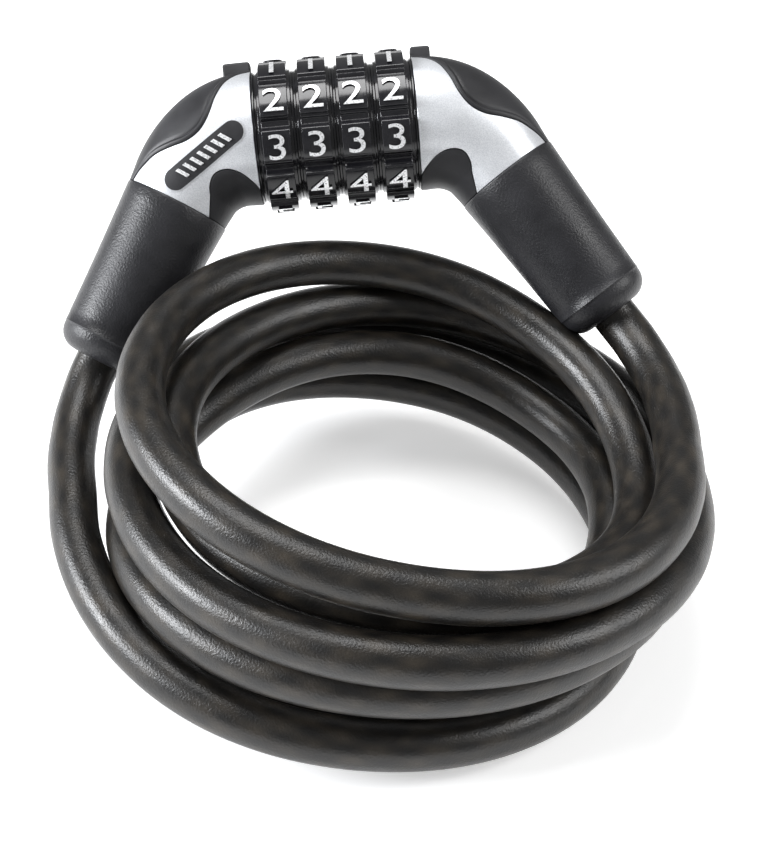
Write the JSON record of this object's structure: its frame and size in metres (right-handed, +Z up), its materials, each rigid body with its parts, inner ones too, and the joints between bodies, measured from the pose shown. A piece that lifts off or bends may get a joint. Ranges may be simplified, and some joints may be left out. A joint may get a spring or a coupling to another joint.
{
  "type": "cable lock",
  "caption": "Self-coiling vinyl-covered steel cable whose two ends meet in a bent combination lock body with turning number dials and a pull-out locking pin.",
  "frame": {"origin": "on the ground under the coil's ring, at its back, straight below the lock body", "axes": "+Z up; +X to the right along the lock body as its dials face the user; +Y to the back, from the coil towards the lock body"},
  "size_m": [0.1371, 0.1435, 0.0906],
  "materials": {
    "silver_shell": "satin silver",
    "soft_grip": "fine-grained dark grey",
    "dial_black": "gloss black",
    "sleeve_rubber": "fine matt grain",
    "cable_vinyl": "smoke-tinted clear vinyl over steel strands",
    "steel": "plain",
    "brass": "machined",
    "zinc": "die-cast, bare"
  },
  "bodies": {
    "lock_body": {"left_front_shell": "silver_shell", "left_rear_shell": "silver_shell", "left_outer_grip": "soft_grip", "left_inner_grip": "soft_grip", "left_chassis": "zinc", "left_shell_screw": "steel", "left_ferrule": "steel", "left_ferrule_pin": "steel", "left_rope_end": "steel", "left_sleeve": "sleeve_rubber", "left_badge": "soft_grip", "barrel": "brass", "barrel_pin": "steel", "click_spring": "steel", "end_collar": "dial_black", "cable_top_turn": "cable_vinyl", "cable_coil": "cable_vinyl", "cable_lead_left": "cable_vinyl"},
    "pin_end": {"right_front_shell": "silver_shell", "right_rear_shell": "silver_shell", "right_outer_grip": "soft_grip", "right_inner_grip": "soft_grip", "right_chassis": "zinc", "right_shell_screw": "steel", "right_ferrule": "steel", "right_ferrule_pin": "steel", "right_rope_end": "steel", "right_sleeve": "sleeve_rubber", "locking_pin": "brass", "locking_pin_rivet": "steel", "cable_lead_right": "cable_vinyl"},
    "dial_1": {"dial_1": "dial_black", "code_ring_1": "brass"},
    "dial_2": {"dial_2": "dial_black", "code_ring_2": "brass"},
    "dial_3": {"dial_3": "dial_black", "code_ring_3": "brass"},
    "dial_4": {"dial_4": "dial_black", "code_ring_4": "brass"}
  },
  "joints": [
    {"name": "pin_pull", "type": "slide", "parent": "lock_body", "child": "pin_end", "axis": [0.9868, 0.0992, 0.1276], "range_m": [0, 0.042]},
    {"name": "dial_1_turn", "type": "hinge", "parent": "lock_body", "child": "dial_1", "pos_m": [-0.02, 0.0152, 0.0726], "axis": [0.9868, 0.0992, 0.1276], "continuous": true},
    {"name": "dial_2_turn", "type": "hinge", "parent": "lock_body", "child": "dial_2", "pos_m": [-0.02, 0.0152, 0.0726], "axis": [0.9868, 0.0992, 0.1276], "continuous": true},
    {"name": "dial_3_turn", "type": "hinge", "parent": "lock_body", "child": "dial_3", "pos_m": [-0.02, 0.0152, 0.0726], "axis": [0.9868, 0.0992, 0.1276], "continuous": true},
    {"name": "dial_4_turn", "type": "hinge", "parent": "lock_body", "child": "dial_4", "pos_m": [-0.02, 0.0152, 0.0726], "axis": [0.9868, 0.0992, 0.1276], "continuous": true}
  ]
}
